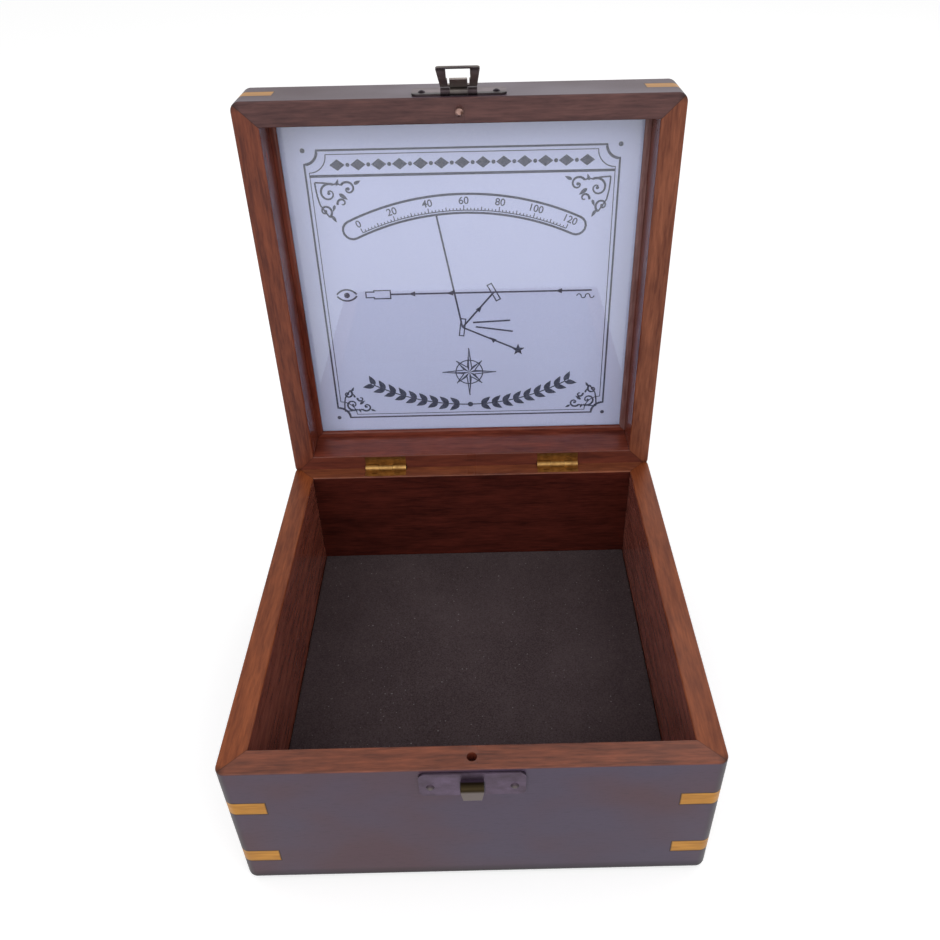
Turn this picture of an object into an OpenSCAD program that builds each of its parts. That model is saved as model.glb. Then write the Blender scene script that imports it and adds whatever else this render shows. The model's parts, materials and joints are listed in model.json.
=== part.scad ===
// Small hardwood instrument case with keyed mitred corners, a glazed card in its lid and a stamped hasp latch.
// The origin is the middle of the underside. X runs along the front, Y points to the hinged back and Z is up.
// It is drawn as it stands in use, with the lid open on its stop and the hasp leaning forwards.

/* [Case] */
// Width of the case along its front
case_w = 140; // [120:1:180]
// Depth of the case from its front face to its back face
case_d = 140; // [120:1:180]
// Height of the case without its lid
case_h = 54; // [46:1:80]
// Thickness of the four case walls
case_wall = 7.8; // [7:0.2:10]
// Thickness of the bottom board
bottom_t = 5; // [3:0.5:6]
// Depth of the rebate that takes the bottom board into the walls
bottom_rebate = 4; // [2:0.5:5]
// Thickness of the bed board that raises the floor
bed_t = 7; // [3:0.5:12]
// Gap between the walls and the bed board and felt
bed_gap = 0.3; // [0.1:0.1:1]
// Thickness of the felt on the bed board
felt_t = 1.5; // [0.5:0.1:3]

/* [Lid] */
// Height of the lid from its rim to its outer face
lid_h = 20.8; // [18:0.2:30]
// Thickness of the four lid walls
lid_wall = 7.8; // [7:0.2:10]
// Thickness of the lid's top board
lid_top_t = 3.6; // [2.6:0.2:5]
// Depth of the rebate that takes the top board into the walls
lid_rebate = 4; // [2:0.5:5]
// Gap between the two rims with the lid shut
seam = 0.2; // [0.1:0.1:0.6]
// Angle that the lid opens to before it meets its stop
open_angle = 90.5; // [90:0.5:100]
// Angle left between the two stop faces with the lid open
stop_relief = 0.6; // [0.3:0.1:2]

/* [Edges] */
// Radius of the upright outer corners
corner_r = 3; // [1:0.5:4]
// Radius of the outer edges of the underside and of the lid's outer face
base_r = 2.5; // [0.5:0.5:3.5]
// Radius that eases the edges of both rims
rim_r = 0.5; // [0.2:0.1:1]

/* [Corner keys] */
// Length of a key along each face from the corner
key_leg = 12; // [8:0.2:13.8]
// Height of a key
key_h = 5.8; // [3:0.1:7]
// Height of the middle of the lower keys above the underside
low_key_z = 13.2; // [9:0.2:16]
// Height of the middle of the upper keys above the underside
high_key_z = 37.6; // [24:0.2:42]
// Height of the middle of the lid's keys above its rim
lid_key_z = 9.8; // [8:0.2:13]

/* [Card and pane] */
// Thickness of the printed card
card_t = 0.3; // [0.2:0.1:0.8]
// Thickness of the glass pane over the card
pane_t = 1.2; // [0.8:0.1:2.5]
// Gap between the lid walls and the card and pane
pane_gap = 0.3; // [0.1:0.1:1]
// Width of the wooden beads that hold the pane
bead_w = 2; // [1.6:0.1:6]
// Thickness of the beads
bead_t = 1.4; // [1:0.1:4]
// Radius of the beads' inner edge
bead_r = 0.9; // [0.3:0.1:1]

/* [Rim peg] */
// Diameter of the brass peg that lines the rims up
peg_d = 2.4; // [1.6:0.1:3]
// Length of the peg that stands out of the lid's rim
peg_out = 3; // [2:0.5:5]
// Length of the peg that is driven into the lid
peg_in = 5; // [3:0.5:8]
// Gap round the peg in the hole of the case rim
peg_clear = 0.25; // [0.2:0.05:0.5]

/* [Butt hinges] */
// Distance of the middle of each hinge from the middle of the case
hinge_x = 34; // [24:1:45]
// Length of a hinge
hinge_l = 16; // [13:1:24]
// Distance of the hinge axis in from the back face
axis_inset = 2; // [1.8:0.1:2.4]
// Thickness of a hinge leaf
leaf_t = 0.9; // [0.6:0.1:1.2]
// Wood left between a leaf and the inner face of the wall
leaf_land = 0.6; // [0.3:0.1:1]
// Diameter of the hinge pins
hinge_pin_d = 1.4; // [1:0.1:1.6]
// Thickness of metal round the pin in a knuckle
knuckle_t = 0.9; // [0.6:0.1:1]
// Running gap round the pin in the lid's knuckle
hinge_fit = 0.05; // [0.02:0.01:0.1]
// Gap between neighbouring knuckles
knuckle_gap = 0.1; // [0.05:0.05:0.3]
// Gap between a knuckle and the wood or leaf that it turns past
barrel_clear = 0.15; // [0.1:0.05:0.3]
// Distance between the two screws of a leaf
screw_pitch = 9; // [7:0.5:9.5]
// Diameter of a screw head
screw_head_d = 2.6; // [2:0.1:2.8]
// Height of the countersunk part of a screw head
screw_head_h = 0.6; // [0.4:0.1:0.6]
// Diameter of a screw shank
screw_d = 1.4; // [1:0.1:1.6]
// Length of a screw below its leaf
screw_l = 6; // [4:0.5:8]
// Width of the slot in a screw head
slot_w = 0.4; // [0.3:0.05:0.6]
// Depth of the slot in a screw head
slot_h = 0.35; // [0.2:0.05:0.4]

/* [Latch] */
// Width of the latch plate on the lid
latch_w = 29.2; // [24:0.2:36]
// Height of the latch plate above the hasp's axis
latch_h = 7.8; // [7:0.2:10]
// Thickness of the latch plate
latch_t = 0.7; // [0.5:0.1:1]
// Height of the hasp's axis above the lid's rim
hasp_up = 1.8; // [1.6:0.1:6]
// Width of the strike plate on the case
strike_w = 29.4; // [24:0.2:36]
// Height of the strike plate
strike_h = 9.6; // [8:0.2:14]
// Thickness of the strike plate and its hook
strike_t = 0.8; // [0.6:0.1:1]
// Height of strike plate above the top of the hook
strike_over = 3; // [1.2:0.1:4]
// Radius of the plates' corners
plate_r = 1.8; // [0.5:0.1:2.4]
// Width of the hook where it leaves the plate
hook_w = 6.4; // [5:0.2:7]
// Width of the hook at the end of its nose
nose_w = 4.8; // [3:0.2:5]
// Distance that the hook stands out from the case front
hook_out = 3.6; // [3.4:0.1:4.5]
// Gap between the hook and the ends of the hasp's window
hook_clear = 0.3; // [0.2:0.05:0.5]
// Gap between the hook and the sides of the hasp's window
hook_side = 0.4; // [0.2:0.1:0.6]

/* [Hasp] */
// Width of the hasp beside its knuckle
hasp_root_w = 11.2; // [10:0.2:13]
// Width of the hasp at its free end
hasp_end_w = 13; // [12:0.2:18]
// Distance from the hasp's axis to the end of its tongue
tongue_l = 5.8; // [5:0.1:10]
// Width of the tongue and of the knuckle at its root
tongue_w = 5.4; // [4:0.2:5.6]
// Width of the slit on each side of the tongue
slit_w = 0.6; // [0.4:0.1:0.8]
// Distance from the hasp's axis to the start of the slits
slit_start = 2.6; // [2.4:0.1:4]
// Length of the window that passes over the hook
window_l = 5.9; // [4.6:0.1:6.5]
// Width of the bar that closes the window
end_bar = 0.8; // [0.6:0.1:2]
// Radius of the hasp's free corners
hasp_corner_r = 0.9; // [0.4:0.1:1.5]
// Thickness of the hasp
hasp_t = 0.55; // [0.4:0.05:0.6]
// Diameter of the hasp's pin
hasp_pin_d = 1.1; // [0.8:0.1:1.3]
// Running gap round the pin in the hasp's knuckle
hasp_fit = 0.05; // [0.02:0.01:0.1]
// Gap at each end of the hasp's knuckle
hasp_gap = 0.1; // [0.05:0.05:0.3]
// Gap between the hasp's arms and the latch plate's knuckles
arm_gap = 0.35; // [0.3:0.05:1]
// Angle that the hasp leans out from its shut position
hasp_rest = 40; // [0:5:140]

/* [Nails] */
// Distance of a nail from the end of its plate
nail_inset = 3.1; // [2.4:0.1:4]
// Distance of the strike plate's nails below its top edge
strike_nail_drop = 5.8; // [3:0.1:6.4]
// Height of the latch plate's nails above the hasp's axis
latch_nail_up = 2.4; // [1.6:0.1:6]
// Diameter of a nail head
nail_head_d = 2.4; // [1.8:0.1:3]
// Height of a nail head
nail_head_h = 0.6; // [0.3:0.1:0.8]
// Diameter of a nail shank
nail_d = 1.2; // [0.8:0.1:1.4]
// Length of a nail below its plate
nail_l = 5; // [3:0.5:6.5]

/* [Hidden] */
$fn = 48;

// Colours as they look on the real case
rosewood = "#5a3a36";
rosewood_rim = "#7d4a35";
key_wood = "#c28f4a";
felt_black = "#241c20";
card_white = "#dfe4f2";
bead_wood = "#5b3230";
brass = "#b08d4f";
aged_bronze = "#5e5450";
glass_clear = "#cfdbe6";

// Small overlap that keeps cutting faces clear of the faces they cut
eps = 0.5;

// Heights of the rims and of the hinge axis with the lid shut
axis_z = case_h + seam / 2;
axis_y = case_d / 2 - axis_inset;
lid_z = case_h + seam;
lid_end = lid_z + lid_h;
stop_slope = (open_angle + stop_relief) / 2;

// Hinge barrel
knuckle_r = hinge_pin_d / 2 + knuckle_t;
barrel_cut_r = knuckle_r + barrel_clear;
knuckle_l = (hinge_l - 2 * knuckle_gap) / 3;
tip_h = screw_d;

// Inner faces of the lid's stack of card, pane and beads, with the lid shut
card_z = lid_end - lid_top_t - card_t;
pane_z = card_z - pane_t;
bead_z = pane_z - bead_t;

// Hasp and hook
hasp_pin_r = hasp_pin_d / 2;
eye_r = hasp_pin_r + latch_t;
hasp_eye_r = hasp_pin_r + hasp_fit + hasp_t;
hasp_y = -case_d / 2 - eye_r;
hasp_z = lid_z + hasp_up;
arm_start = eye_r + arm_gap;
window_end = tongue_l + window_l;
hasp_l = window_end + end_bar;
window_w = hook_w + 2 * hook_side;
hook_top = hasp_z - tongue_l - hook_clear;
hook_tip = hasp_z - window_end + hook_clear;
hook_bend = 2 * strike_t;
hook_notch_w = hook_w + slit_w;
strike_top = hook_top + strike_over;
root_clear_r = norm([arm_start, hasp_eye_r]) + hasp_gap;

// Shared forms

module corner_nib(r) {
  difference() {
    translate([-eps, -eps]) square(r + eps);
    translate([r, r]) circle(r);
  }
}

// A rectangle in the plane with its four corners rounded
module soft_rect(w, d, r) {
  difference() {
    translate([-w / 2, -d / 2]) square([w, d]);
    for (sx = [-1, 1], sy = [-1, 1])
      scale([sx, sy]) translate([-w / 2, -d / 2]) corner_nib(r);
  }
}

// Section of a wall, outer face at 0, rim at the top, with a rebate for the board at its foot
module wall_section(t, h, board_t, rebate) {
  difference() {
    square([t, h]);
    corner_nib(base_r);
    translate([0, h]) mirror([0, 1]) corner_nib(rim_r);
    translate([t, h]) mirror([1, 0]) mirror([0, 1]) corner_nib(rim_r);
    translate([t - rebate, -eps]) square([rebate + eps, board_t + eps]);
  }
}

// Wood that the rounding takes off an upright outer corner, with the sharp corner at 0
module corner_chip(h) {
  difference() {
    translate([-eps, -eps, -eps]) cube([corner_r + eps, corner_r + eps, h + 2 * eps]);
    translate([corner_r, corner_r, 0])
      rotate_extrude()
        difference() {
          square([corner_r, h]);
          translate([corner_r, 0]) mirror([1, 0]) corner_nib(base_r);
          translate([corner_r, h]) mirror([1, 0]) mirror([0, 1]) corner_nib(rim_r);
        }
  }
}

// One mitred wall that faces -Y and stands on its rebated edge, for a case l long that way and d deep
module wall(l, d, t, h, board_t, rebate) {
  difference() {
    intersection() {
      linear_extrude(h)
        polygon([[-l / 2, -d / 2], [l / 2, -d / 2], [l / 2 - t, -d / 2 + t], [-l / 2 + t, -d / 2 + t]]);
      translate([-l / 2, -d / 2, 0])
        rotate([90, 0, 90])
          linear_extrude(l) wall_section(t, h, board_t, rebate);
    }
    for (sx = [-1, 1])
      scale([sx, 1, 1]) translate([-l / 2, -d / 2, 0]) corner_chip(h);
  }
}

// Turns children that face -Y to face side 0 front, 1 right, 2 back, 3 left
module facing(side) {
  rotate([0, 0, 90 * side]) children();
}

// Length and depth of the case seen from a side
function side_l(side) = side % 2 == 0 ? case_w : case_d;
function side_d(side) = side % 2 == 0 ? case_d : case_w;

module case_wall_blank(side) {
  facing(side) wall(side_l(side), side_d(side), case_wall, case_h, bottom_t, bottom_rebate);
}

// The lid's walls hang from the lid's outer face, so they are the same form upside down
module lid_wall_blank(side) {
  translate([0, 0, lid_end])
    mirror([0, 0, 1])
      facing(side) wall(side_l(side), side_d(side), lid_wall, lid_h, lid_top_t, lid_rebate);
}

// One three-cornered key in each upright corner, with its middle at height z
module keys(z) {
  intersection() {
    linear_extrude(lid_end) soft_rect(case_w, case_d, corner_r);
    for (sx = [-1, 1], sy = [-1, 1])
      translate([0, 0, z - key_h / 2])
        scale([sx, sy, 1])
          translate([case_w / 2, case_d / 2, 0])
            linear_extrude(key_h) polygon([[0, 0], [-key_leg, 0], [0, -key_leg]]);
  }
}

module case_keys() {
  keys(low_key_z);
  keys(high_key_z);
}

module lid_keys() {
  keys(lid_z + lid_key_z);
}

// Rod along X
module rod(r, l) {
  rotate([0, 90, 0]) cylinder(r = r, h = l, center = true);
}

// Puts children on the hinge axis
module at_axis() {
  translate([0, axis_y, axis_z]) children();
}

// Swings the shut lid open on the hinge axis
module open_lid() {
  at_axis()
    rotate([-open_angle, 0, 0])
      translate([0, -axis_y, -axis_z]) children();
}

// Wood cut away behind the hinge axis, which makes the stop face of the case
module case_stop_cut() {
  at_axis()
    rotate([-stop_slope, 0, 0])
      translate([-case_w, 0, 0]) cube([2 * case_w, case_wall, case_wall]);
}

// The same for the lid
module lid_stop_cut() {
  at_axis()
    rotate([stop_slope, 0, 0])
      translate([-case_w, 0, -lid_wall]) cube([2 * case_w, lid_wall, lid_wall]);
}

// Butt hinges

// Flat of a leaf that lies below the axis, for a wall of thickness t
module leaf_flat(t) {
  leaf_w = t - axis_inset - leaf_land;
  translate([-hinge_l / 2, -leaf_w, -seam / 2 - leaf_t])
    cube([hinge_l, leaf_w, leaf_t]);
}

// Places children at the two screws of a leaf
module at_screws(t) {
  screw_y = (t - axis_inset - leaf_land + barrel_cut_r) / 2;
  for (sx = [-1, 1])
    translate([sx * screw_pitch / 2, -screw_y, -seam / 2]) children();
}

module screw_blank() {
  translate([0, 0, -screw_head_h]) cylinder(r1 = screw_d / 2, r2 = screw_head_d / 2, h = screw_head_h);
  translate([0, 0, -leaf_t - screw_l]) cylinder(d = screw_d, h = leaf_t + screw_l - screw_head_h / 2);
}

module screw() {
  difference() {
    union() {
      screw_blank();
      translate([0, 0, -leaf_t - screw_l - tip_h]) cylinder(d1 = 0, d2 = screw_d, h = tip_h);
    }
    translate([-screw_head_d, -slot_w / 2, -slot_h]) cube([2 * screw_head_d, slot_w, 2 * slot_h]);
  }
}

// Wood removed for the barrel, the leaf and the screws of one hinge, below the axis
module hinge_mortise(t) {
  rod(barrel_cut_r, hinge_l + 2 * barrel_clear);
  leaf_flat(t);
  translate([0, 0, leaf_t]) leaf_flat(t);
  at_screws(t) translate([0, 0, -leaf_t - screw_l - tip_h]) cylinder(d = screw_d, h = screw_l + tip_h);
}

module outer_knuckles(r) {
  for (sx = [-1, 1])
    translate([sx * (hinge_l - knuckle_l) / 2, 0, 0]) rod(r, knuckle_l);
}

// Leaf of the case with the two outer knuckles, which grip the pin
module case_leaf() {
  difference() {
    union() {
      difference() {
        leaf_flat(case_wall);
        rod(barrel_cut_r, knuckle_l + 2 * knuckle_gap);
      }
      outer_knuckles(knuckle_r);
    }
    rod(hinge_pin_d / 2, hinge_l + eps);
    at_screws(case_wall) screw_blank();
  }
}

// Leaf of the lid with the middle knuckle, which turns on the pin, drawn below the axis
module lid_leaf() {
  difference() {
    union() {
      difference() {
        leaf_flat(lid_wall);
        for (sx = [-1, 1])
          translate([sx * (hinge_l + knuckle_l) / 2, 0, 0])
            rod(barrel_cut_r, hinge_l - 2 * knuckle_gap);
      }
      rod(knuckle_r, knuckle_l);
    }
    rod(hinge_pin_d / 2 + hinge_fit, hinge_l);
    at_screws(lid_wall) screw_blank();
  }
}

// Puts children at a hinge: side -1 is the left one and 1 is the right one
module at_hinge(side) {
  translate([side * hinge_x, 0, 0]) at_axis() children();
}

// Puts children at a hinge of the shut lid, turned over to lie above the axis
module at_lid_hinge(side) {
  at_hinge(side) mirror([0, 0, 1]) children();
}

// Nails and plates

// Puts children on the front face at height z with their own Z pointing out of it
module on_front(z) {
  translate([0, -case_d / 2, z]) rotate([90, 0, 0]) children();
}

module nail(plate_t) {
  dome_r = (pow(nail_head_d / 2, 2) + pow(nail_head_h, 2)) / (2 * nail_head_h);
  translate([0, 0, plate_t])
    rotate_extrude()
      intersection() {
        translate([0, nail_head_h - dome_r]) circle(dome_r);
        square([nail_head_d / 2, nail_head_h]);
      }
  translate([0, 0, -nail_l]) cylinder(d = nail_d, h = nail_l + plate_t + nail_head_h / 2);
}

module nail_hole() {
  translate([0, 0, -nail_l]) cylinder(d = nail_d, h = nail_l + eps + latch_t + strike_t);
}

module at_strike_nails() {
  for (sx = [-1, 1])
    translate([sx * (strike_w / 2 - nail_inset), 0, 0]) on_front(strike_top - strike_nail_drop) children();
}

module at_latch_nails() {
  for (sx = [-1, 1])
    translate([sx * (latch_w / 2 - nail_inset), 0, 0]) on_front(hasp_z + latch_nail_up) children();
}

// Peg on the middle of the lid's front wall, with its rim end at 0
module at_peg() {
  translate([0, -case_d / 2 + lid_wall / 2, lid_z]) children();
}

// Case

module case_front() {
  color(rosewood)
    difference() {
      case_wall_blank(0);
      case_keys();
      at_strike_nails() nail_hole();
      at_peg() translate([0, 0, -peg_out - seam - eps]) cylinder(d = peg_d + 2 * peg_clear, h = 2 * peg_out);
    }
}

module case_back() {
  color(rosewood)
    difference() {
      case_wall_blank(2);
      case_keys();
      case_stop_cut();
      for (side = [-1, 1])
        at_hinge(side) hinge_mortise(case_wall);
    }
}

module case_side(side) {
  color(rosewood_rim)
    difference() {
      case_wall_blank(side);
      case_keys();
      case_stop_cut();
    }
}

module case_left() {
  case_side(3);
}

module case_right() {
  case_side(1);
}

module case_bottom() {
  board_w = case_w - 2 * (case_wall - bottom_rebate);
  board_d = case_d - 2 * (case_wall - bottom_rebate);
  color(rosewood)
    translate([-board_w / 2, -board_d / 2, 0]) cube([board_w, board_d, bottom_t]);
}

module case_corner_keys() {
  color(key_wood) case_keys();
}

module floor_slab(z, t) {
  slab_w = case_w - 2 * (case_wall + bed_gap);
  slab_d = case_d - 2 * (case_wall + bed_gap);
  translate([-slab_w / 2, -slab_d / 2, z]) cube([slab_w, slab_d, t]);
}

module bed_board() {
  color(rosewood) floor_slab(bottom_t, bed_t);
}

module bed_felt() {
  color(felt_black) floor_slab(bottom_t + bed_t, felt_t);
}

// Strike plate with the hook that is cut from it and bent out

// Side view of the hook, with X pointing out of the case and Y up
module hook_profile() {
  bend_x = hook_out - hook_bend;
  nose_r = strike_t / 2;
  translate([0, hook_top - strike_t]) square([bend_x, strike_t]);
  translate([bend_x, hook_top - hook_bend])
    intersection() {
      difference() {
        circle(hook_bend);
        circle(hook_bend - strike_t);
      }
      square(hook_bend);
    }
  translate([hook_out - strike_t, hook_tip + nose_r])
    square([strike_t, hook_top - hook_bend - hook_tip - nose_r]);
  translate([hook_out - nose_r, hook_tip + nose_r]) circle(nose_r);
}

// Front view of the hook, which narrows to its nose
module hook_outline() {
  polygon([[-hook_w / 2, hook_top + eps], [-hook_w / 2, hook_top - hook_bend], [-nose_w / 2, hook_tip - eps],
    [nose_w / 2, hook_tip - eps], [hook_w / 2, hook_top - hook_bend], [hook_w / 2, hook_top + eps]]);
}

module hook() {
  intersection() {
    translate([-hook_w / 2, -case_d / 2, 0])
      rotate([90, 0, 90])
        linear_extrude(hook_w) mirror([1, 0]) hook_profile();
    on_front(0) linear_extrude(hook_out) hook_outline();
  }
}

module strike_plate() {
  notch_top = hook_top - strike_t / 2;
  color(aged_bronze) {
    difference() {
      on_front(strike_top - strike_h / 2) linear_extrude(strike_t) soft_rect(strike_w, strike_h, plate_r);
      on_front(notch_top - strike_h) translate([-hook_notch_w / 2, 0, -eps]) cube([hook_notch_w, strike_h, 2]);
      at_strike_nails() nail_hole();
    }
    hook();
  }
}

module strike_plate_nails() {
  color(aged_bronze) at_strike_nails() nail(strike_t);
}

module hinge_leaf_case_left() {
  color(brass) at_hinge(-1) case_leaf();
}

module hinge_leaf_case_right() {
  color(brass) at_hinge(1) case_leaf();
}

module hinge_pin(side) {
  color(brass) at_hinge(side) rod(hinge_pin_d / 2, hinge_l);
}

module hinge_pin_left() {
  hinge_pin(-1);
}

module hinge_pin_right() {
  hinge_pin(1);
}

module hinge_screws_case() {
  color(brass)
    for (side = [-1, 1])
      at_hinge(side) at_screws(case_wall) screw();
}

// Lid

module lid_front() {
  color(rosewood_rim)
    open_lid()
      difference() {
        lid_wall_blank(0);
        lid_keys();
        at_latch_nails() nail_hole();
        at_peg() cylinder(d = peg_d, h = peg_in);
      }
}

module lid_back() {
  color(rosewood_rim)
    open_lid()
      difference() {
        lid_wall_blank(2);
        lid_keys();
        lid_stop_cut();
        for (side = [-1, 1])
          at_lid_hinge(side) hinge_mortise(lid_wall);
      }
}

module lid_side(side) {
  color(rosewood_rim)
    open_lid()
      difference() {
        lid_wall_blank(side);
        lid_keys();
        lid_stop_cut();
      }
}

module lid_left() {
  lid_side(3);
}

module lid_right() {
  lid_side(1);
}

module lid_top() {
  board_w = case_w - 2 * (lid_wall - lid_rebate);
  board_d = case_d - 2 * (lid_wall - lid_rebate);
  color(rosewood)
    open_lid()
      translate([-board_w / 2, -board_d / 2, lid_end - lid_top_t]) cube([board_w, board_d, lid_top_t]);
}

module lid_corner_keys() {
  color(key_wood) open_lid() lid_keys();
}

module lid_slab(z, t) {
  slab_w = case_w - 2 * (lid_wall + pane_gap);
  slab_d = case_d - 2 * (lid_wall + pane_gap);
  translate([-slab_w / 2, -slab_d / 2, z]) cube([slab_w, slab_d, t]);
}

module lid_card() {
  color(card_white) open_lid() lid_slab(card_z, card_t);
}

module lid_pane() {
  color(glass_clear, 0.35) open_lid() lid_slab(pane_z, pane_t);
}

// One mitred bead against the pane on a side of the lid
module pane_bead(side) {
  l = side_l(side) - 2 * lid_wall;
  d = side_d(side) - 2 * lid_wall;
  color(bead_wood)
    open_lid()
      facing(side)
        intersection() {
          translate([0, 0, bead_z])
            linear_extrude(bead_t)
              polygon([[-l / 2, -d / 2], [l / 2, -d / 2], [l / 2 - bead_w, -d / 2 + bead_w],
                [-l / 2 + bead_w, -d / 2 + bead_w]]);
          translate([-l / 2, -d / 2, bead_z])
            rotate([90, 0, 90])
              linear_extrude(l)
                difference() {
                  square([bead_w, bead_t]);
                  translate([bead_w, 0]) mirror([1, 0]) corner_nib(bead_r);
                }
        }
}

module pane_bead_front() {
  pane_bead(0);
}

module pane_bead_back() {
  pane_bead(2);
}

module pane_bead_left() {
  pane_bead(3);
}

module pane_bead_right() {
  pane_bead(1);
}

module lid_peg() {
  point_h = peg_d / 4;
  color(brass)
    open_lid()
      at_peg() {
        translate([0, 0, point_h - peg_out]) cylinder(d = peg_d, h = peg_in + peg_out - point_h);
        translate([0, 0, -peg_out]) cylinder(d1 = peg_d / 2, d2 = peg_d, h = point_h);
      }
}

module hinge_leaf_lid_left() {
  color(brass) open_lid() at_lid_hinge(-1) lid_leaf();
}

module hinge_leaf_lid_right() {
  color(brass) open_lid() at_lid_hinge(1) lid_leaf();
}

module hinge_screws_lid() {
  color(brass)
    open_lid()
      for (side = [-1, 1])
        at_lid_hinge(side) at_screws(lid_wall) screw();
}

// Latch

// Puts children on the hasp's axis with the lid shut
module at_hasp() {
  translate([0, hasp_y, hasp_z]) children();
}

// Plate with two eyes that are rolled from its lower edge round the hasp's pin
module latch_plate() {
  eye_l = (hasp_root_w - tongue_w) / 2 - hasp_gap;
  edge_drop = eye_r / 3;
  flat_h = latch_h + edge_drop;
  eye_x = (tongue_w + eye_l) / 2 + hasp_gap;
  color(aged_bronze)
    open_lid()
      difference() {
        union() {
          difference() {
            on_front(hasp_z + latch_h - flat_h / 2) linear_extrude(latch_t) soft_rect(latch_w, flat_h, plate_r);
            on_front(hasp_z) translate([-tongue_w / 2 - hasp_gap, -eye_r, -eps])
              cube([tongue_w + 2 * hasp_gap, eye_r + root_clear_r, 2]);
          }
          for (sx = [-1, 1]) {
            translate([sx * eye_x, 0, 0]) at_hasp() rod(eye_r, eye_l);
            translate([sx * eye_x, 0, 0]) on_front(hasp_z) translate([-eye_l / 2, 0, 0]) cube([eye_l, eye_r, latch_t]);
          }
        }
        at_hasp() rod(hasp_pin_r, latch_w);
        at_latch_nails() nail_hole();
      }
}

module latch_plate_nails() {
  color(aged_bronze) open_lid() at_latch_nails() nail(latch_t);
}

module hasp_pin() {
  color(aged_bronze) open_lid() at_hasp() rod(hasp_pin_r, hasp_root_w);
}

// Flat of the hasp seen from the front, with its axis at 0 and its free end down
module hasp_outline() {
  r = hasp_corner_r;
  end_x = hasp_end_w / 2;
  root_x = hasp_root_w / 2;
  difference() {
    union() {
      polygon([[-root_x, -arm_start], [-end_x, r - hasp_l], [end_x, r - hasp_l], [root_x, -arm_start]]);
      translate([r - end_x, -hasp_l]) square([hasp_end_w - 2 * r, r + eps]);
      for (sx = [-1, 1])
        translate([sx * (end_x - r), r - hasp_l]) circle(r);
      translate([-tongue_w / 2, -arm_start - eps]) square([tongue_w, arm_start + eps]);
    }
    translate([-window_w / 2, -window_end]) square([window_w, window_l]);
    for (sx = [-1, 1])
      translate([sx * (tongue_w + slit_w) / 2 - slit_w / 2, -tongue_l - eps])
        square([slit_w, tongue_l + eps - slit_start]);
  }
}

module hasp() {
  color(aged_bronze)
    open_lid()
      at_hasp()
        rotate([-hasp_rest, 0, 0])
          difference() {
            union() {
              translate([0, hasp_t - hasp_eye_r, 0]) rotate([90, 0, 0]) linear_extrude(hasp_t) hasp_outline();
              rod(hasp_eye_r, tongue_w);
            }
            rod(hasp_pin_r + hasp_fit, hasp_root_w);
          }
}

case_front();
case_back();
case_left();
case_right();
case_bottom();
case_corner_keys();
bed_board();
bed_felt();
strike_plate();
strike_plate_nails();
hinge_leaf_case_left();
hinge_leaf_case_right();
hinge_pin_left();
hinge_pin_right();
hinge_screws_case();
lid_front();
lid_back();
lid_left();
lid_right();
lid_top();
lid_corner_keys();
lid_card();
lid_pane();
pane_bead_front();
pane_bead_back();
pane_bead_left();
pane_bead_right();
lid_peg();
hinge_leaf_lid_left();
hinge_leaf_lid_right();
hinge_screws_lid();
latch_plate();
latch_plate_nails();
hasp_pin();
hasp();
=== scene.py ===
import json
import math
import bpy
from mathutils import Matrix, Vector, noise


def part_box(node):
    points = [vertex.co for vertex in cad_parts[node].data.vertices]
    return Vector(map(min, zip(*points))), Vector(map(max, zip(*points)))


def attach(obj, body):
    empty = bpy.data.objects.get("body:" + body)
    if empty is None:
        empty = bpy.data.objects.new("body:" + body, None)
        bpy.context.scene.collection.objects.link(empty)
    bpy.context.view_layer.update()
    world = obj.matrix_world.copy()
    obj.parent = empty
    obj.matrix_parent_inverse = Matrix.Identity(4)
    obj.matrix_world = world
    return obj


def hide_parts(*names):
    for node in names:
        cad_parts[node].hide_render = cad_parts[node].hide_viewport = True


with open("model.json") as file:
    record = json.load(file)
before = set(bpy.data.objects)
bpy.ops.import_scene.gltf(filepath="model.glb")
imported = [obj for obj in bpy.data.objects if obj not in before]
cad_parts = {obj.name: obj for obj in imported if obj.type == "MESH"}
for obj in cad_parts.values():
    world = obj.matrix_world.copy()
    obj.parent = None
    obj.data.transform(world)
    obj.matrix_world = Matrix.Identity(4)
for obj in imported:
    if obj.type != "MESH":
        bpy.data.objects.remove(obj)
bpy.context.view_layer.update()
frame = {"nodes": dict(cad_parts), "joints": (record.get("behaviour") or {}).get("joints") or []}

mm = 0.001
quarter = math.pi / 2
print("case frame loaded,", len(frame["nodes"]), "nodes")

# The lid stands open in the frame. Its patterns and its card are set out on the shut lid and turned with it.
joints = {joint["name"]: joint for joint in frame["joints"]}
lidAxis = Vector(joints["lid_hinge"]["pos_m"])
haspPin = Vector(joints["hasp_hinge"]["pos_m"])
openAngle = math.radians(joints["lid_hinge"]["range_deg"][1])
openToShut = Matrix.Translation(lidAxis) @ Matrix.Rotation(openAngle, 4, "X") @ Matrix.Translation(-lidAxis)
shutToOpen = openToShut.inverted()

# Sizes in millimetres, the lid's as it is when shut
caseSize = {
    "half": -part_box("case_front")[0].y / mm,
    "wall": (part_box("case_front")[1].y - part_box("case_front")[0].y) / mm,
    "seam": lidAxis.z / mm,
    "cardFace": 71.1,
    "cardBack": 71.4,
}
keySize = {"leg": 12, "height": 5.8, "levels": (13.2, 37.6, 64)}


def hexColour(text):
    # sRGB hex to the linear colour that shaders use
    channels = [int(text[i:i + 2], 16) / 255 for i in (1, 3, 5)]
    linear = [c / 12.92 if c <= 0.04045 else ((c + 0.055) / 1.055) ** 2.4 for c in channels]
    return (*linear, 1)


def fillSockets(tree, node, inputs):
    # Gives each socket its value, or links it to the node or output that feeds it
    for socket, value in inputs.items():
        if isinstance(value, bpy.types.Node):
            value = next(output for output in value.outputs if output.enabled)
        if isinstance(value, bpy.types.NodeSocket):
            tree.links.new(value, node.inputs[socket])
        else:
            node.inputs[socket].default_value = value


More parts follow.
